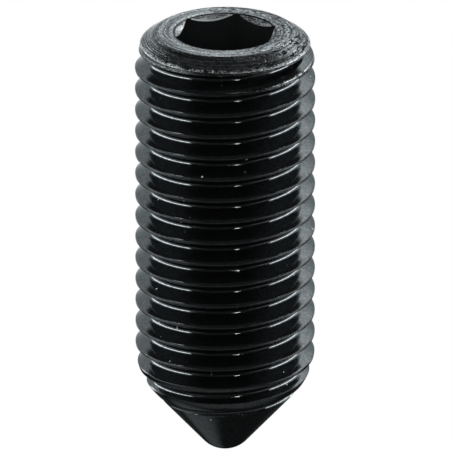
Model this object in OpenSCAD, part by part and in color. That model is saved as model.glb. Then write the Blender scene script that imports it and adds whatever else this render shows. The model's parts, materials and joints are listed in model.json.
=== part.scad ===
// Grub screw with a cone point: a headless hexagon socket set screw, M16 x 2, nominal length 40 mm.
// It is one piece of black-oxide steel with a rolled right-hand thread. It stands on its socket end:
// that flat ring is z = 0, the screw's axis is Z, and the cone point is up.

/* [Thread] */
// Crest diameter of the thread (M16, fit 6g)
thread_d = 15.95; // [15.7:0.01:15.96]
// Rise of the thread in one turn
thread_pitch = 2; // [1.5:0.5:2]
// Angle about the axis at which a crest leaves the socket end
thread_start = 133; // [0:1:359]
// Straight facets in one turn of the thread
turn_steps = 28; // [24:4:40]

/* [Socket end] */
// Outer diameter of the flat ring that the screw stands on
end_d = 12.2; // [11:0.1:13]
// Diameter of the rounded rim beyond the end chamfer
rim_d = 15; // [14:0.1:15.4]
// Height at which the chamfer's slope would meet the rim
chamfer_h = 0.93; // [0.6:0.01:1]
// Height of the plain ring at this end, before the thread starts
rim_h = 1.12; // [1.12:0.04:1.2]
// Height at which the taper that trims the first crest starts
run_in_h = 1.3; // [1.3:0.05:1.6]
// Angle between the axis and that taper
run_in_angle = 18; // [12:1:30]

/* [Hexagon socket] */
// Width across the flats
socket_af = 8.03; // [8.02:0.01:8.12]
// Depth of the flats
socket_depth = 10; // [8:0.5:12]
// Included angle of the drilled bottom
drill_angle = 120; // [110:1:140]
// Mouth diameter of the countersink that trims the hexagon's corners
mouth_d = 9.1; // [8.8:0.05:10]
// Included angle of that countersink
mouth_angle = 100; // [90:5:120]

/* [Cone point] */
// Length of the screw, from its socket end to its tip
screw_len = 39.5; // [39.5:0.1:40.5]
// Included angle of the cone
cone_angle = 83; // [80:1:92]
// Radius that rounds the tip
tip_r = 2.7; // [1:0.1:3]
// Radius that blends the threaded length into the cone
shoulder_r = 6; // [1:0.5:8]
// Height above which the thread's root follows the cone inwards
fade_z = 32; // [31:0.1:34]
// Inward step of the root for each mm of height above that
fade_slope = 0.45; // [0:0.05:0.6]

/* [Hidden] */
$fn = 120;

steel = [0.07, 0.075, 0.08];

// The metric thread's form: 60 degree flanks, a crest flat of an eighth of the pitch, and a root
// arc that touches both flanks. root_w is half the width of that arc and root_lift its height.
crest_r = thread_d / 2;
crest_w = thread_pitch / 8;
thread_depth = 0.6134 * thread_pitch;
root_r = crest_r - thread_depth;
root_w = 0.125 * thread_pitch;
root_lift = 0.0722 * thread_pitch;
thread_form = [
    [-crest_w / 2, crest_r],
    [crest_w / 2, crest_r],
    [thread_pitch / 2 - root_w, root_r + root_lift],
    [thread_pitch / 2, root_r],
    [thread_pitch / 2 + root_w, root_r + root_lift]
];
form_n = len(thread_form);
thread_turns = ceil(screw_len / thread_pitch) + 2;

// The point's outline: the tip's circle, the cone that touches it, and the shoulder's arc.
half_cone = cone_angle / 2;
tip_z = screw_len - tip_r;
cone_low_r = tip_r * cos(half_cone);
cone_low_z = tip_z + tip_r * sin(half_cone);
cone_high_r = crest_r - shoulder_r * (1 - cos(half_cone));
cone_high_z = cone_low_z - (cone_high_r - cone_low_r) / tan(half_cone);
shoulder_z = cone_high_z - shoulder_r * sin(half_cone);

// Points on a curve from a to c that starts and ends along the lines to the corner b.
function rounded(a, b, c, n) = [for (k = [0 : n])
    let (t = k / n)
    (1 - t) * (1 - t) * a + 2 * t * (1 - t) * b + t * t * c];

// Threaded rod, longer than the screw at both ends. The form climbs one pitch in each turn, so the
// column of points after the last is the first column, one whole form further up.
module threaded_rod() {
    rows = form_n * thread_turns;
    columns = [for (s = [0 : turn_steps - 1]) for (i = [0 : rows - 1])
        let (
            turn = thread_start + 360 * s / turn_steps,
            point = thread_form[i % form_n],
            z = point[0] + thread_pitch * (floor(i / form_n) - 1 + s / turn_steps),
            r = point[1] - fade_slope * max(0, min(z, screw_len) - fade_z)
        )
        [r * cos(turn), r * sin(turn), z]];
    low = len(columns);
    high = low + 1;
    ends = [[0, 0, -2 * thread_pitch], [0, 0, thread_turns * thread_pitch]];
    function at(s, i) = s < turn_steps ? s * rows + i : i + form_n;
    last = rows - 1 - form_n;
    wall = [for (s = [0 : turn_steps - 1]) for (i = [0 : last - 1])
        [at(s, i), at(s, i + 1), at(s + 1, i + 1), at(s + 1, i)]];
    low_turn = [for (s = [0 : turn_steps - 1]) [low, at(s, 0), at(s + 1, 0)]];
    low_step = [for (i = [0 : form_n - 1]) [low, at(0, i + 1), at(0, i)]];
    high_turn = [for (s = [0 : turn_steps - 1]) [high, at(s + 1, last), at(s, last)]];
    high_step = [for (i = [0 : form_n - 1]) [high, at(0, last + i), at(0, last + i + 1)]];
    polyhedron(
        points = concat(columns, ends),
        faces = concat(wall, low_turn, low_step, high_turn, high_step)
    );
}

// Turned blank: flat ring, chamfer, rounded rim, tapered run-in, straight length, shoulder, cone
// and tip.
module turned_blank() {
    end_r = end_d / 2;
    rim_r = rim_d / 2;
    clear_r = crest_r + 0.3;
    rim_corner = [rim_r, chamfer_h];
    rim_top = [rim_r, (chamfer_h + rim_h) / 2];
    rim = rounded([end_r, 0] + 0.75 * (rim_corner - [end_r, 0]), rim_corner, rim_top, 3);
    shoulder = [for (k = [0 : 5])
        let (a = half_cone * k / 5)
        [crest_r - shoulder_r * (1 - cos(a)), shoulder_z + shoulder_r * sin(a)]];
    rotate_extrude()
        polygon(concat(
            [[0, 0], [end_r, 0]],
            rim,
            [[rim_r, run_in_h], [clear_r, run_in_h + (clear_r - rim_r) / tan(run_in_angle)]],
            [[clear_r, shoulder_z - 1]],
            shoulder,
            [[cone_low_r, cone_low_z], [0, cone_low_z]]
        ));
    translate([0, 0, tip_z]) sphere(r = tip_r);
}

// Hexagon socket with its drilled bottom, and the countersink over its corners.
module socket_cut() {
    flat_r = socket_af / 2;
    mouth_r = mouth_d / 2;
    translate([0, 0, -1]) cylinder(h = socket_depth + 1, r = flat_r / cos(30), $fn = 6);
    translate([0, 0, socket_depth]) cylinder(h = flat_r / tan(drill_angle / 2), r1 = flat_r, r2 = 0);
    cylinder(h = mouth_r / tan(mouth_angle / 2), r1 = mouth_r, r2 = 0);
}

// The thread is cut in the blank, except in the plain ring at the socket end.
module set_screw() {
    color(steel)
    difference() {
        intersection() {
            turned_blank();
            union() {
                threaded_rod();
                translate([0, 0, -1]) cylinder(h = rim_h + 1, r = crest_r + 0.5);
            }
        }
        socket_cut();
    }
}

set_screw();
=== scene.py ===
# Grub screw with a cone point, standing on its socket end. The photograph shows it the other way up,
# so the camera looks from below the floor, turned over, and the floor is clear from that side.
import bpy
import bmesh
import json
import math
import numpy as np
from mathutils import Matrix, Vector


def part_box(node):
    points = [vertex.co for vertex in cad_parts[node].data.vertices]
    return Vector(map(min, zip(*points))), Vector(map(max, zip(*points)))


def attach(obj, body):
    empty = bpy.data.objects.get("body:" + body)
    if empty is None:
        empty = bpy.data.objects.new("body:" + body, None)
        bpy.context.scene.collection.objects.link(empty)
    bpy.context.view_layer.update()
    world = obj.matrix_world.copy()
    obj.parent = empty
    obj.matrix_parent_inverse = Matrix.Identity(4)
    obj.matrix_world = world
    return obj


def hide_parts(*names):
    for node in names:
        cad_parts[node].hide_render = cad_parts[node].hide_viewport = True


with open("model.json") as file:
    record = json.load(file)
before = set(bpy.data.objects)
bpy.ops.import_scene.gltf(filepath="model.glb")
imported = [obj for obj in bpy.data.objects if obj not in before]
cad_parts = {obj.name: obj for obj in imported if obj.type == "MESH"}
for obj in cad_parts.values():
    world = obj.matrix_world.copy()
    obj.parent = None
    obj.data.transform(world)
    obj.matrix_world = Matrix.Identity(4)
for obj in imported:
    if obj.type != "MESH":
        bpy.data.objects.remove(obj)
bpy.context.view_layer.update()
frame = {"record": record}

mm = 0.001  # one millimetre in metres
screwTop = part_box("set_screw")[1].z / mm
mountSizes = {mount["name"]: mount["dims"] for mount in frame["record"]["mounts"]}

# Lengths in millimetres, angles in degrees
screw = {
    "crestRadius": mountSizes["thread"]["r_mm"],
    "pitch": 2.0,
    "threadDepth": 1.2268,
    "flankAngle": 30,        # between a flank and the plane across the axis
    "rootArc": 0.2887,       # radius of the groove's bottom
    "crestAngle": 133,       # where a crest meets the plane of the socket end
    "crestRound": 0.07,      # how soft the crest's edges are
    "edgeRound": 0.05,       # how soft the trimmed edges are
    "length": screwTop,
    "endRadius": 6.1,        # flat ring at the socket end
    "endRound": 0.12,        # how far its edge is rounded
    "rimRadius": 7.5,
    "chamferHeight": 0.93,
    "chamferShare": 0.72,    # how much of the chamfer is straight, before the rim's curve
    "ringHeight": 1.12,      # plain ring before the thread
    "runInHeight": 1.3,      # where the taper that trims the first crest starts
    "runInAngle": 18,
    "runInLength": 0.22,     # how fast the groove deepens beyond the plain ring
    "halfCone": 41.5,
    "tipRadius": mountSizes["cone_point"]["r_mm"],
    "shoulderRadius": 6.0,
    "fadeStart": 32.0,       # the root follows the cone inwards above this height
    "fadeSlope": 0.45,
    "threadEnd": 36.1,       # plain cone above this height
    "socketDepth": mountSizes["hexagon_socket"]["length_mm"],
    "acrossFlats": 8.03,
    "mouthRadius": 4.55,     # countersink over the hexagon's corners
    "mouthAngle": 50,        # half the countersink's angle
    "drillAngle": 60,        # half the drilled bottom's angle
    "columns": 132,          # points round the screw, a multiple of 6 so that the corners are sharp
    "rowsPerPitch": 32,
    "rows": {"drill": 8, "ledge": 2, "flats": 14, "sink": 6, "ring": 8, "curve": 8, "cone": 16, "tip": 14},
    "mergeDistance": 0.0004,  # joins the points that fall together, at the poles and on the plain ring
    "sharpAngle": 32,        # an edge that bends more than this is shown sharp
}


def smoothStep(value, start, end):
    # 0 before start, 1 after end, and an S between them
    part = np.clip((value - start) / (end - start), 0, 1)
    return part * part * (3 - 2 * part)


def softMin(first, second, width):
    # the smaller of two values, with the corner between them rounded over that width
    return 0.5 * (first + second - np.sqrt((first - second) ** 2 + width ** 2))


def straight(start, end, steps, columns, withStart=False):
    # even rows from one (radius, height) to another; each is a number, or one for each column
    part = np.linspace(0, 1, steps + 1)[:, None]
    if not withStart:
        part = part[1:]
    ones = np.ones(columns)
    return [(1 - part) * low * ones + part * high * ones for low, high in zip(start, end)]


def curved(start, middle, end, steps, columns):
    # quadratic curve from one (radius, height) to another that bends towards the middle one
    part = np.linspace(0, 1, steps + 1)[:, None]
    curve = (1 - part) ** 2 * start + 2 * part * (1 - part) * middle + part ** 2 * end
    ones = np.ones(columns)
    return curve[:, :1] * ones, curve[:, 1:] * ones


def coneShape(part):
    # heights and radii where the tip's ball, the cone and the shoulder's arc touch each other
    half = math.radians(part["halfCone"])
    lowRadius = part["tipRadius"] * math.cos(half)
    lowHeight = part["length"] - part["tipRadius"] * (1 - math.sin(half))
    highRadius = part["crestRadius"] - part["shoulderRadius"] * (1 - math.cos(half))
    highHeight = lowHeight - (highRadius - lowRadius) / math.tan(half)
    shoulderHeight = highHeight - part["shoulderRadius"] * math.sin(half)
    return lowRadius, lowHeight, highHeight, shoulderHeight


def blankRadius(height, part):
    # radius of the plain turned bar: the run-in taper, the straight length, the shoulder and the cone
    lowRadius, lowHeight, highHeight, shoulderHeight = coneShape(part)
    taper = np.maximum(0, height - part["runInHeight"]) * math.tan(math.radians(part["runInAngle"]))
    above = np.clip(height - shoulderHeight, 0, highHeight - shoulderHeight)
    arc = part["shoulderRadius"] - np.sqrt(part["shoulderRadius"] ** 2 - above ** 2)
    cone = lowRadius + (lowHeight - height) * math.tan(math.radians(part["halfCone"]))
    bar = np.where(height < highHeight, part["crestRadius"] - arc, cone)
    return softMin(part["rimRadius"] + taper, bar, part["edgeRound"])


def threadRadius(height, angle, part):
    # distance from the middle of the nearest groove gives the root's arc, then the flank
    turns = (angle - math.radians(part["crestAngle"])) / (2 * math.pi)
    aside = part["pitch"] * np.abs((height / part["pitch"] - turns) % 1 - 0.5)
    crest = part["crestRadius"] - part["fadeSlope"] * np.maximum(0, height - part["fadeStart"])
    root = crest - part["threadDepth"]
    flankAngle = math.radians(part["flankAngle"])
    arcHalf = part["rootArc"] * math.cos(flankAngle)
    bottom = part["rootArc"] - np.sqrt(part["rootArc"] ** 2 - np.minimum(aside, arcHalf) ** 2)
    flank = np.maximum(0, aside - arcHalf) / math.tan(flankAngle)
    profile = softMin(root + bottom + flank, crest, part["crestRound"])
    # the groove gets shallow at the plain ring, until it's outside the bar
    shallow = 1 - smoothStep(height, part["ringHeight"], part["ringHeight"] + part["runInLength"])
    return profile + 2 * part["threadDepth"] * shallow


def socketSections(angle, part):
    # drilled cone, ledges in the corners, six flats, the countersink's scallops, and the flat ring
    columns, rows = part["columns"], part["rows"]
    flat, depth = part["acrossFlats"] / 2, part["socketDepth"]
    hexagon = flat / np.cos(angle % math.radians(60) - math.radians(30))
    bottom = depth + flat / math.tan(math.radians(part["drillAngle"]))
    scallop = np.maximum(0, part["mouthRadius"] - hexagon) / math.tan(math.radians(part["mouthAngle"]))
    mouth = np.maximum(hexagon, part["mouthRadius"])
    return [
        straight((0, bottom), (flat, depth), rows["drill"], columns, withStart=True),
        straight((flat, depth), (hexagon, depth), rows["ledge"], columns),
        straight((hexagon, depth), (hexagon, scallop), rows["flats"], columns),
        straight((hexagon, scallop), (mouth, 0), rows["sink"], columns),
        straight((mouth, 0), (part["endRadius"] - part["endRound"], 0), rows["ring"], columns),
    ]


def chamferSections(part):
    # the chamfer between two curves: the flat ring's edge and the rim
    columns, steps, edge = part["columns"], part["rows"]["curve"], part["endRound"]
    corner = np.array([part["endRadius"], 0.0])
    rimCorner = np.array([part["rimRadius"], part["chamferHeight"]])
    rimTop = np.array([part["rimRadius"], part["ringHeight"]])
    slant = (rimCorner - corner) / np.linalg.norm(rimCorner - corner)
    rimStart = corner + part["chamferShare"] * (rimCorner - corner)
    return [
        curved(corner - [edge, 0], corner, corner + edge * slant, steps, columns),
        curved(rimStart, rimCorner, rimTop, steps, columns),
    ]


def threadSection(angle, part):
    # the rows climb one pitch in a turn, so they follow the crests
    pitch, perPitch, low = part["pitch"], part["rowsPerPitch"], part["ringHeight"]
    turns = math.ceil((part["threadEnd"] - low) / pitch) + 1
    first = math.floor(low / pitch + part["crestAngle"] / 360) - 1
    climb = pitch * (angle - math.radians(part["crestAngle"])) / (2 * math.pi)
    steps = first + np.arange((turns + 1) * perPitch + 1)[:, None] / perPitch
    height = np.clip(pitch * steps + climb, low, part["threadEnd"])
    return softMin(threadRadius(height, angle, part), blankRadius(height, part), part["edgeRound"]), height


def pointSections(part):
    # plain cone, then the tip's ball
    rows, ones = part["rows"], np.ones(part["columns"])
    coneHeight = np.linspace(part["threadEnd"], coneShape(part)[1], rows["cone"] + 1)[1:, None] * ones
    lift = np.radians(np.linspace(part["halfCone"], 90, rows["tip"] + 1))[1:, None] * ones
    centre = part["length"] - part["tipRadius"]
    return [
        (blankRadius(coneHeight, part), coneHeight),
        (part["tipRadius"] * np.cos(lift), centre + part["tipRadius"] * np.sin(lift)),
    ]


def screwSurface(part):
    # rows of points from the socket's bottom, out over the ring and the thread, to the tip
    angle = 2 * math.pi * np.arange(part["columns"]) / part["columns"]
    sections = socketSections(angle, part) + chamferSections(part)
    firstRow = sum(len(radius) for radius, _ in sections)
    sections.append(threadSection(angle, part))
    lastRow = firstRow + len(sections[-1][0]) - 1
    sections += pointSections(part)
    radius = np.concatenate([radius for radius, _ in sections])
    height = np.concatenate([height for _, height in sections])
    points = np.stack([radius * np.cos(angle), radius * np.sin(angle), height], axis=-1)
    return points, firstRow, lastRow


def screwMesh(name, part):
    # four-sided faces between neighbouring rows and columns, closed round the screw
    points, firstRow, lastRow = screwSurface(part)
    rows, columns = points.shape[:2]
    index = np.arange(rows * columns).reshape(rows, columns)
    # after the last column a row of the thread goes on as the row one pitch further up
    onward = np.arange(rows)
    threaded = slice(firstRow, lastRow + 1)
    onward[threaded] = np.minimum(onward[threaded] + part["rowsPerPitch"], lastRow)
    beside = np.concatenate([index[:, 1:], index[onward, :1]], axis=1)
    faces = np.stack([index[:-1], beside[:-1], beside[1:], index[1:]], axis=-1).reshape(-1, 4)
    mesh = bpy.data.meshes.new(name)
    mesh.from_pydata((points.reshape(-1, 3) * mm).tolist(), [], faces.tolist())
    shell = bmesh.new()
    shell.from_mesh(mesh)
    bmesh.ops.remove_doubles(shell, verts=shell.verts, dist=part["mergeDistance"] * mm)
    shell.to_mesh(mesh)
    shell.free()
    mesh.shade_smooth()
    mesh.set_sharp_from_angle(angle=math.radians(part["sharpAngle"]))
    return mesh


def addNode(tree, kind, inputs=None, **settings):
    # a node with its settings; an input is a number or colour, or the socket that feeds it
    node = tree.nodes.new(kind)
    for key, value in settings.items():
        setattr(node, key, value)
    for key, value in (inputs or {}).items():
        if isinstance(value, bpy.types.NodeSocket):
            tree.links.new(value, node.inputs[key])
        else:
            node.inputs[key].default_value = value
    return node


def calc(tree, operation, *values):
    return addNode(tree, "ShaderNodeMath", dict(enumerate(values)), operation=operation).outputs[0]


def product(tree, first, *others):
    for other in others:
        first = calc(tree, "MULTIPLY", first, other)
    return first


def largest(tree, first, *others):
    for other in others:
        first = calc(tree, "MAXIMUM", first, other)
    return first


def dot(tree, vector, direction):
    inputs = {0: vector, 1: tuple(direction)}
    return addNode(tree, "ShaderNodeVectorMath", inputs, operation="DOT_PRODUCT").outputs["Value"]


def ramp(tree, value, start, end, low=0.0, high=1.0):
    # low up to start, high from end on, and an S between them
    inputs = {"Value": value, "From Min": start, "From Max": end, "To Min": low, "To Max": high}
    return addNode(tree, "ShaderNodeMapRange", inputs, interpolation_type="SMOOTHSTEP").outputs["Result"]


def layer(tree, mask, under, over):
    return addNode(tree, "ShaderNodeMix", {0: mask, 6: under, 7: over}, data_type="RGBA").outputs[2]


def tinted(tree, colour, tone):
    return addNode(tree, "ShaderNodeVectorMath", {0: colour, "Scale": tone}, operation="SCALE").outputs[0]


def surfacePlace(tree):
    # a point's place in millimetres, its height, its distance from the axis, and its way from it
    place = addNode(tree, "ShaderNodeTexCoord").outputs["Object"]
    place = addNode(tree, "ShaderNodeMapping", {"Vector": place, "Scale": (1000, 1000, 1000)})
    place = place.outputs["Vector"]
    xyz = addNode(tree, "ShaderNodeSeparateXYZ", {"Vector": place})
    level = addNode(tree, "ShaderNodeVectorMath", {0: place, 1: (1, 1, 0)}, operation="MULTIPLY")
    radius = addNode(tree, "ShaderNodeVectorMath", {0: level.outputs[0]}, operation="LENGTH")
    radius = radius.outputs["Value"]
    away = calc(tree, "MAXIMUM", radius, 0.01)
    return {
        "place": place,
        "height": xyz.outputs["Z"],
        "radius": radius,
        "east": calc(tree, "DIVIDE", xyz.outputs["X"], away),   # 1 towards +X
        "north": calc(tree, "DIVIDE", xyz.outputs["Y"], away),  # 1 towards +Y
    }


# Noise on the steel, with scales per millimetre. What changes little round the axis makes rings.
patterns = {
    "lathe": {"change": 0.16, "scale": 6.2, "detail": 0.0, "roughness": 0.5},       # wide rings
    "scratches": {"change": 1.6, "scale": 9.0, "detail": 2.0, "roughness": 0.6},    # fine ones
    "pits": {"change": 3.0, "scale": 4.5, "detail": 1.0, "roughness": 0.5},
    "mottle": {"scale": 2.2, "detail": 4.0, "roughness": 0.6},
    "grain": {"scale": 5.5, "detail": 3.0, "roughness": 0.7},
}


def noise(tree, at, look):
    inputs = {"Scale": look["scale"], "Detail": look["detail"], "Roughness": look["roughness"]}
    if "change" not in look:
        inputs["Vector"] = at["place"]
        return addNode(tree, "ShaderNodeTexNoise", inputs).outputs["Fac"]
    # four dimensions: radius, height, and a small circle for the way round the axis
    east = product(tree, at["east"], look["change"])
    flat = addNode(tree, "ShaderNodeCombineXYZ", {"X": at["radius"], "Y": at["height"], "Z": east})
    inputs["Vector"] = flat.outputs[0]
    inputs["W"] = product(tree, at["north"], look["change"])
    return addNode(tree, "ShaderNodeTexNoise", inputs, noise_dimensions="4D").outputs["Fac"]


# Here and below, a row of numbers is what ramp takes: where a change starts and ends, and the
# values there if they aren't 0 and 1. Places are in millimetres.
endPlaces = {
    "clearOfSocket": (4.7, 4.8),    # radius
    "ringPlane": (0.02, 0.01),      # height
    "plainRing": (1.15, 1.05),
    "sinkEdge": (0.09, 0.05),       # beyond the countersink's cone
    "taperEdge": (-0.18, -0.04),    # short of the taper that trims the first crest
    "taperTop": (2.85, 2.75),
    "taperShare": 0.85,             # how much the trimmed crest looks like the turned end
    "socketEnd": (16, 14),
}


def endMasks(tree, at, look, part):
    # 1 on the turned end: the ring, its chamfer and the rim, the countersink, and the trimmed crest
    sinkSlope = math.tan(math.radians(part["mouthAngle"]))
    beyondSink = calc(tree, "MULTIPLY_ADD", at["height"], sinkSlope, at["radius"])
    beyondSink = calc(tree, "SUBTRACT", beyondSink, part["mouthRadius"])
    sunk = ramp(tree, beyondSink, *look["sinkEdge"])
    outside = ramp(tree, at["radius"], *look["clearOfSocket"])
    turned = largest(tree, outside, ramp(tree, at["height"], *look["ringPlane"]), sunk)
    turned = product(tree, turned, ramp(tree, at["height"], *look["plainRing"]))
    taperSlope = math.tan(math.radians(part["runInAngle"]))
    taper = calc(tree, "MULTIPLY_ADD", at["height"], -taperSlope, at["radius"])
    taper = calc(tree, "SUBTRACT", taper, part["rimRadius"] - part["runInHeight"] * taperSlope)
    taper = product(tree, ramp(tree, taper, *look["taperEdge"]), ramp(tree, at["height"], *look["taperTop"]))
    turned = largest(tree, turned, product(tree, taper, look["taperShare"]))
    # 1 on the socket's walls
    socket = product(tree, calc(tree, "SUBTRACT", 1.0, outside), calc(tree, "SUBTRACT", 1.0, turned))
    socket = product(tree, socket, ramp(tree, at["height"], *look["socketEnd"]))
    return turned, sunk, socket


# Rubbed finish on the rim and in the countersink, with painted highlights laid on both
rubbingAndHighlights = {
    "rimPlace": (7.4, 0.91),            # radius and height of the rubbed edge, which also carries a painted highlight
    "rimReach": (0.19, 0.095),          # distance from it
    "rimGrain": (0.42, 0.54),
    "rimMottle": (0.42, 0.58, 0.12, 1.0),
    "mouthEdge": (4.48, 4.42),          # radius of the rubbed countersink, which also carries a painted highlight
    "mouthEast": (0.6, 0.3, 0.25, 0.62),    # less towards +X
    "mouthWest": (-0.6, -0.3, 0.25, 1.0),   # and towards -X
    "bandGaps": (0.4, 0.5, 0.5, 1.0),   # by the scratches
    "bandLeast": 0.1,
    "burrEdge": (4.14, 4.08),           # distance of the burred edges, with their painted highlight, from the axis, across flats
    "burrBands": 0.35,
    "burrNorth": (0.5, 0.9, 0.25, 1.0),     # most towards +Y
    "ringGaps": (0, 1, 0.6, 1.0),       # by the lathe's rings
}


def rubbedAndHighlightMasks(tree, at, marks, sunk, look):
    # wear and a painted highlight on the rim, by the distance from the middle of its rounded edge
    spot = addNode(tree, "ShaderNodeCombineXYZ", {"X": at["radius"], "Y": at["height"]})
    inputs = {0: spot.outputs[0], 1: (*look["rimPlace"], 0)}
    apart = addNode(tree, "ShaderNodeVectorMath", inputs, operation="DISTANCE").outputs["Value"]
    rim = product(
        tree, ramp(tree, apart, *look["rimReach"]), ramp(tree, marks["grain"], *look["rimGrain"]),
        ramp(tree, marks["mottle"], *look["rimMottle"]),
    )
    # the countersink is rubbed in bands round the axis, with a painted highlight laid on them, and its edge
    # on the flats has a bright burr, which is partly a painted highlight
    mouth = product(
        tree, ramp(tree, at["radius"], *look["mouthEdge"]), sunk,
        ramp(tree, at["east"], *look["mouthEast"]), ramp(tree, at["east"], *look["mouthWest"]),
    )
    bands = product(tree, marks["lathe"], ramp(tree, marks["scratches"], *look["bandGaps"]))
    flats = [(math.cos(turn), math.sin(turn), 0) for turn in np.radians([30, 90, 150])]
    across = largest(tree, *[calc(tree, "ABSOLUTE", dot(tree, at["place"], flat)) for flat in flats])
    burrAndHighlight = largest(tree, ramp(tree, across, *look["burrEdge"]), product(tree, bands, look["burrBands"]))
    burrAndHighlight = product(tree, burrAndHighlight, ramp(tree, at["north"], *look["burrNorth"]), mouth)
    mouth = product(tree, mouth, largest(tree, bands, look["bandLeast"]))
    wear = product(tree, largest(tree, rim, mouth), ramp(tree, marks["lathe"], *look["ringGaps"]))
    return wear, burrAndHighlight


# How bright the turned end is, by its marks and by place; the flat ring's shade by side is a painted
# reflection
endShades = {
    "lathe": (0, 1, 0.5, 1.3),
    "grain": (0.4, 0.6, 0.65, 1.4),
    "pits": (0, 1, 1.0, 0.08),
    "scratches": (0.43, 0.57, 0.65, 1.25),
    "ringSides": (0.35, 0.95, 1.0, 0.76),   # the flat ring, darker towards +X and -X: painted shade that stands in for its reflection
    "ringBack": (0.2, 0.9, 1.0, 1.22),      # and brighter towards +Y: painted sheen, the same painted reflection
    "chamferFrom": (6.0, 6.2),
    "chamfer": 0.67,
    "lipRadius": 4.5,                       # dark line round the countersink's mouth
    "lip": (0.05, 0.09, 0.3, 1.0),
    "rim": (7.05, 7.35, 1.0, 0.5),
}


def endShade(tree, at, marks, look):
    # the product of all of them, where the ring's painted reflection counts only inside the chamfer
    sides = ramp(tree, calc(tree, "ABSOLUTE", at["east"]), *look["ringSides"])
    ring = product(tree, sides, ramp(tree, at["north"], *look["ringBack"]))
    fromLip = calc(tree, "ABSOLUTE", calc(tree, "SUBTRACT", at["radius"], look["lipRadius"]))
    return product(
        tree,
        *[ramp(tree, marks[name], *look[name]) for name in ("lathe", "grain", "pits", "scratches")],
        ramp(tree, at["radius"], *look["chamferFrom"], ring, look["chamfer"]),
        ramp(tree, fromLip, *look["lip"]),
        ramp(tree, at["radius"], *look["rim"]),
    )


oxide = {
    "steel": (0.062, 0.068, 0.070),     # on the thread and the cone
    "steelMottle": (0.3, 0.7, 0.85, 1.12),
    "steelGrain": (0.38, 0.62, 0.76, 1.18),
    "turned": (0.19, 0.206, 0.211),     # on the turned end, where the finish is thinner
    "wear": (0.33, 0.35, 0.36, 1),      # where the finish is rubbed off, and the painted highlights on the rim and in the countersink
    # also the colour of the burr line, which is partly a painted highlight
    "dust": (0.65, 0.67, 0.68, 1),
    "dustScale": 0.55,                  # specks in a millimetre
    "dustSize": (0.065, 0.04),
    "dustPatches": (0.46, 0.54),
    "grazing": (0.5, 0.52, 0.53, 1),    # reflection at a flat angle
    "lathe": (0.4, 0.6),                # how sharp the wide rings are
    "pits": (0.545, 0.58),
    "pitsEast": (0.3, -0.5, 0.2, 1.0),  # fewer towards +X
    "threadRoughness": 0.1,
    "turnedRoughness": 0.27,
    "unevenRoughness": (0.3, 0.7, -0.01, 0.02),
    "looseRoughness": 0.5,              # more where it's rubbed, where it's dusty, and under the painted highlights
    "metal": 0.97,                      # the rest scatters light softly
    "socketMetal": 0.8,                 # the same in the socket, which is duller
    "ringRelief": 0.5,
    "pitRelief": 1.5,
    "threadRelief": 0.06,               # how much of those the thread has
    "threadGrain": 0.12,
    "bumpStrength": 0.6,
    "bumpDepth": 0.03,                  # mm
}


def oxideMaterial(look, part):
    material = bpy.data.materials.new("blackOxide")
    material.use_nodes = True
    tree = material.node_tree
    tree.nodes.clear()
    at = surfacePlace(tree)
    turned, sunk, socket = endMasks(tree, at, endPlaces, part)
    marks = {name: noise(tree, at, pattern) for name, pattern in patterns.items()}
    marks["lathe"] = ramp(tree, marks["lathe"], *look["lathe"])
    marks["pits"] = product(
        tree, ramp(tree, marks["pits"], *look["pits"]), ramp(tree, at["east"], *look["pitsEast"]), turned,
    )
    specks = addNode(tree, "ShaderNodeTexVoronoi", {"Vector": at["place"], "Scale": look["dustScale"]})
    dust = product(
        tree, ramp(tree, specks.outputs["Distance"], *look["dustSize"]),
        ramp(tree, marks["mottle"], *look["dustPatches"]),
        ramp(tree, at["radius"], *endPlaces["clearOfSocket"]),
    )
    wear, burrAndHighlight = rubbedAndHighlightMasks(tree, at, marks, sunk, rubbingAndHighlights)

    mottled = ramp(tree, marks["mottle"], *look["steelMottle"])
    threadTone = product(tree, mottled, ramp(tree, marks["grain"], *look["steelGrain"]))
    turnedTone = endShade(tree, at, marks, endShades)
    steel = tinted(tree, look["steel"], threadTone)
    colour = layer(tree, turned, steel, tinted(tree, look["turned"], turnedTone))
    # the rubbed colour, which is also the painted highlight on the rim and in the countersink
    colour = layer(tree, wear, colour, look["wear"])
    # dust specks, and the burr line, which is partly a painted highlight
    pale = largest(tree, dust, burrAndHighlight)
    colour = layer(tree, pale, colour, look["dust"])

    wornDustyAndHighlit = largest(tree, wear, pale)
    rough = ramp(tree, turned, 0, 1, look["threadRoughness"], look["turnedRoughness"])
    rough = calc(tree, "ADD", rough, ramp(tree, marks["mottle"], *look["unevenRoughness"]))
    rough = calc(tree, "MULTIPLY_ADD", wornDustyAndHighlit, look["looseRoughness"], rough)
    solid = calc(tree, "SUBTRACT", 1.0, wornDustyAndHighlit)
    metal = product(tree, solid, ramp(tree, socket, 0, 1, look["metal"], look["socketMetal"]))

    # rings and scratches stand up, pits go in, and the grain is over all
    relief = product(tree, calc(tree, "ADD", marks["lathe"], marks["scratches"]), look["ringRelief"])
    relief = calc(tree, "SUBTRACT", relief, product(tree, marks["pits"], look["pitRelief"]))
    relief = product(tree, relief, ramp(tree, turned, 0, 1, look["threadRelief"], 1.0))
    grained = ramp(tree, turned, 0, 1, look["threadGrain"], 1.0)
    relief = calc(tree, "MULTIPLY_ADD", marks["grain"], grained, relief)
    bump = addNode(
        tree, "ShaderNodeBump",
        {"Height": relief, "Strength": look["bumpStrength"], "Distance": look["bumpDepth"] * mm},
    )
    shader = addNode(
        tree, "ShaderNodeBsdfPrincipled",
        {
            "Base Color": colour, "Roughness": rough, "Metallic": metal, "Normal": bump.outputs[0],
            "Specular Tint": look["grazing"],
        },
    )
    addNode(tree, "ShaderNodeOutputMaterial", {"Surface": shader.outputs[0]})
    return material


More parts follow.
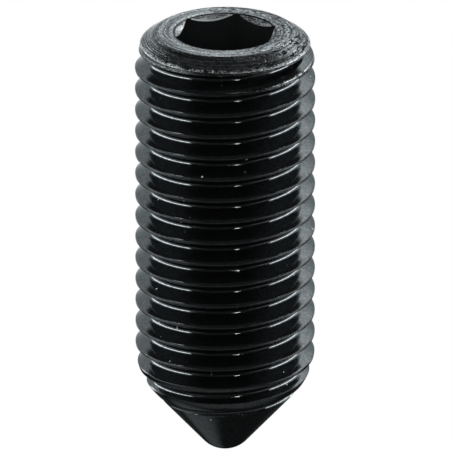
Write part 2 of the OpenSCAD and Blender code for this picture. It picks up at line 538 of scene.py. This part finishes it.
body = bpy.data.objects.new("threadedScrew", screwMesh("threadedScrew", screw))
bpy.context.scene.collection.objects.link(body)
body.data.materials.append(oxideMaterial(oxide, screw))
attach(body, "root")
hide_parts("set_screw")
print("screw made,", len(body.data.polygons), "faces")

# The photograph's view: the camera stands tilt degrees below the floor and is turned over
photoView = {
    "turn": 17,
    "tilt": 22,
    "fieldWidth": 39.9,     # mm across the picture
    "aimHeight": 18.41,     # mm up the axis
    "aimRight": 0.08,       # mm to the picture's right
    "lens": 1200,
    "sensor": 36,
    "clipStart": 0.01,      # metres
    "clipEnd": 10,
}


def viewAxes(look):
    # directions of the picture's right, its top, and from the screw to the camera
    turn, tilt = math.radians(look["turn"]), math.radians(look["tilt"])
    right = np.array([-math.cos(turn), -math.sin(turn), 0])
    out = np.array([math.sin(turn) * math.cos(tilt), -math.cos(turn) * math.cos(tilt), -math.sin(tilt)])
    return right, np.cross(out, right), out


def addCamera(look):
    right, up, out = viewAxes(look)
    distance = look["fieldWidth"] * mm * look["lens"] / look["sensor"]
    place = np.array([0, 0, look["aimHeight"]]) * mm + right * look["aimRight"] * mm + out * distance
    data = bpy.data.cameras.new("photoCamera")
    data.lens = look["lens"]
    data.sensor_width = look["sensor"]
    data.clip_start = look["clipStart"]
    data.clip_end = look["clipEnd"]
    camera = bpy.data.objects.new("photoCamera", data)
    bpy.context.scene.collection.objects.link(camera)
    matrix = np.eye(4)
    matrix[:3, 0], matrix[:3, 1], matrix[:3, 2], matrix[:3, 3] = right, up, out, place
    camera.matrix_world = matrix.T.tolist()
    bpy.context.scene.camera = camera


addCamera(photoView)
print("camera placed")

# What the steel reflects, by direction as seen from the screw. An azimuth is in degrees round from
# the camera to either side, and depth is in degrees below the floor's level. Left, right, top and
# foot are the picture's, which is turned over. A row of numbers is what ramp takes, as before.
studio = {
    "cameraWhite": 1.0,
    "ambient": 0.9,                         # what the dull places take from all round
    "front": (-55, -35, 0.015, 0.07),       # weak light everywhere, by depth
    "sideBlend": (-0.05, 0.05),             # how soft the change from left to right is
    "backdrop": {                           # a pale sheet that stands behind the screw
        "light": 2.05,
        "start": (101, 107),                # azimuth
        "foot": (-28, -20, 0.02, 1.0),      # depth; its light thins out towards the foot
        "top": (32, 27),                    # depth
        "rise": 9,                          # how much further the top is on the right
        "rightGrade": (6, 34, 0.75, 1.9),   # how bright it is on the right, by depth
        "leftGrade": (-0.12, -0.32, 1.0, 0.84),     # and on the left, by side
    },
    "boxes": {                              # a bright box at each side, not high
        "light": 14.0,
        "leftStart": 55,                    # azimuth
        "rightStart": 68,
        "startEdge": (-2, 2),
        "end": (142, 134),
        "foot": (1, 5),                     # depth
        "top": (100, 112, 21, 19),          # depth by azimuth, less behind the screw
        "topEdge": (2, -2),
    },
    "glow": {                               # a weak light from the foot of each side
        "light": 1.8,
        "rise": (15, 112),                  # azimuth
        "fall": (132, 112),
        "foot": (-38, -30),                 # depth
        "top": (-2, -10),
    },
    "ceiling": {                            # a weaker one over the cone, which shows from other sides
        "light": 0.28,
        "start": (-34, -46),                # depth
        "end": (145, 105),                  # azimuth
    },
    # a small lamp in front, and a soft patch that the cone shows on its left: turn is degrees round
    # to the right, tilt is the depth, and rim is how far from there it starts and is at its full
    "lamp": {"light": 50.0, "turn": 16, "tilt": 31, "rim": (3.5, 2.4)},
    "patch": {"light": 0.6, "turn": -152, "tilt": -60, "rim": (16, 0)},
}


def skyPlace(tree, view):
    right, _, out = viewAxes(view)
    ahead = np.array([out[0], out[1], 0]) / math.hypot(out[0], out[1])
    way = addNode(tree, "ShaderNodeTexCoord").outputs["Generated"]
    side = dot(tree, way, right)
    azimuth = calc(tree, "ARCTAN2", calc(tree, "ABSOLUTE", side), dot(tree, way, ahead))
    depth = calc(tree, "ARCSINE", dot(tree, way, (0, 0, -1)))
    return {
        "way": way, "side": side, "right": right, "ahead": ahead,
        "azimuth": calc(tree, "DEGREES", azimuth), "depth": calc(tree, "DEGREES", depth),
    }


def sided(tree, sky, left, right):
    # one value on the picture's left and another on its right
    return ramp(tree, sky["side"], *studio["sideBlend"], left, right)


def backdropLight(tree, sky, look):
    # full between the start and the top, and from the foot up, times what each side has
    lowered = calc(tree, "SUBTRACT", sky["depth"], sided(tree, sky, 0, look["rise"]))
    grade = sided(tree, sky, 1.0, ramp(tree, sky["depth"], *look["rightGrade"]))
    return product(
        tree, ramp(tree, sky["azimuth"], *look["start"]), ramp(tree, sky["depth"], *look["foot"]),
        ramp(tree, lowered, *look["top"]), grade, ramp(tree, sky["side"], *look["leftGrade"]), look["light"],
    )


def boxLight(tree, sky, look):
    # full between start and end and between foot and top
    start = sided(tree, sky, look["leftStart"], look["rightStart"])
    past = calc(tree, "SUBTRACT", sky["azimuth"], start)
    lowered = calc(tree, "SUBTRACT", sky["depth"], ramp(tree, sky["azimuth"], *look["top"]))
    return product(
        tree, ramp(tree, past, *look["startEdge"]), ramp(tree, sky["azimuth"], *look["end"]),
        ramp(tree, lowered, *look["topEdge"]), ramp(tree, sky["depth"], *look["foot"]), look["light"],
    )


def glowLight(tree, sky, look):
    return product(
        tree, ramp(tree, sky["azimuth"], *look["rise"]), ramp(tree, sky["azimuth"], *look["fall"]),
        ramp(tree, sky["depth"], *look["top"]), ramp(tree, sky["depth"], *look["foot"]), look["light"],
    )


def ceilingLight(tree, sky, look):
    return product(
        tree, ramp(tree, sky["depth"], *look["start"]), ramp(tree, sky["azimuth"], *look["end"]),
        look["light"],
    )


def spotLight(tree, sky, look):
    # by the cosine of the angle between a direction and the lamp's
    turn, tilt = math.radians(look["turn"]), math.radians(look["tilt"])
    level = (math.sin(turn) * sky["right"] + math.cos(turn) * sky["ahead"]) * math.cos(tilt)
    near = dot(tree, sky["way"], (level[0], level[1], -math.sin(tilt)))
    outer, inner = np.cos(np.radians(look["rim"]))
    return ramp(tree, near, outer, inner, 0, look["light"])


def addWorld(look, view):
    world = bpy.data.worlds.new("studio")
    bpy.context.scene.world = world
    world.use_nodes = True
    tree = world.node_tree
    tree.nodes.clear()
    sky = skyPlace(tree, view)
    light = largest(
        tree,
        backdropLight(tree, sky, look["backdrop"]),
        boxLight(tree, sky, look["boxes"]),
        glowLight(tree, sky, look["glow"]),
        ceilingLight(tree, sky, look["ceiling"]),
        spotLight(tree, sky, look["lamp"]),
        spotLight(tree, sky, look["patch"]),
        ramp(tree, sky["depth"], *look["front"]),
    )
    path = addNode(tree, "ShaderNodeLightPath").outputs
    light = addNode(
        tree, "ShaderNodeMix", {"Factor": path["Is Glossy Ray"], "A": look["ambient"], "B": light},
    )
    light = addNode(
        tree, "ShaderNodeMix",
        {"Factor": path["Is Camera Ray"], "A": light.outputs[0], "B": look["cameraWhite"]},
    )
    shine = addNode(tree, "ShaderNodeBackground", {"Color": (1, 1, 1, 1), "Strength": light.outputs[0]})
    addNode(tree, "ShaderNodeOutputWorld", {"Surface": shine.outputs[0]})


addWorld(studio, photoView)
print("studio made")

floorLook = {
    "radius": 0.26,         # metres
    "fadeStart": 0.08,
    "sides": 96,
    "colour": (0.86, 0.86, 0.85, 1),
}


def addFloor(look):
    # a disc under the screw that thins out into the white round it and is clear from below
    sides = look["sides"]
    angle = 2 * math.pi * np.arange(sides) / sides
    edge = look["radius"] * np.stack([np.cos(angle), np.sin(angle), 0 * angle], axis=-1)
    points = np.concatenate([0.5 * edge, edge])
    inner = np.arange(sides)
    ring = np.stack([inner, inner + sides, np.roll(inner, -1) + sides, np.roll(inner, -1)], axis=-1)
    mesh = bpy.data.meshes.new("floor")
    mesh.from_pydata(points.tolist(), [], ring.tolist() + [inner.tolist()])
    floor = bpy.data.objects.new("floor", mesh)
    bpy.context.scene.collection.objects.link(floor)
    material = bpy.data.materials.new("paleFloor")
    material.use_nodes = True
    tree = material.node_tree
    tree.nodes.clear()
    place = addNode(tree, "ShaderNodeTexCoord").outputs["Object"]
    away = addNode(tree, "ShaderNodeVectorMath", {0: place}, operation="LENGTH").outputs["Value"]
    below = addNode(tree, "ShaderNodeNewGeometry").outputs["Backfacing"]
    clear = largest(tree, ramp(tree, away, look["fadeStart"], look["radius"]), below)
    surface = addNode(tree, "ShaderNodeBsdfDiffuse", {"Color": look["colour"]})
    nothing = addNode(tree, "ShaderNodeBsdfTransparent")
    mixed = addNode(tree, "ShaderNodeMixShader", {0: clear, 1: surface.outputs[0], 2: nothing.outputs[0]})
    addNode(tree, "ShaderNodeOutputMaterial", {"Surface": mixed.outputs[0]})
    mesh.materials.append(material)
    floor.visible_glossy = False
    floor.visible_diffuse = False
    floor.visible_shadow = False


addFloor(floorLook)

# Soft lamps above, which only light the floor and the dull places; metres and watts
floorLamps = {
    "key": {"place": (-0.35, -0.25, 0.55), "size": 0.3, "power": 3.2},
    "fill": {"place": (0.4, 0.2, 0.5), "size": 0.4, "power": 1.4},
}


def addLamps(lamps):
    for name, lamp in lamps.items():
        data = bpy.data.lights.new(name, "AREA")
        data.shape = "DISK"
        data.size = lamp["size"]
        data.energy = lamp["power"]
        light = bpy.data.objects.new(name, data)
        light.location = lamp["place"]
        # turned so that it shines at the screw
        out = np.array(lamp["place"])
        light.rotation_euler = (math.acos(out[2] / np.linalg.norm(out)), 0, math.atan2(out[0], -out[1]))
        light.visible_glossy = False
        bpy.context.scene.collection.objects.link(light)


addLamps(floorLamps)
bpy.context.scene.view_settings.view_transform = "Standard"
print("floor and lights placed")
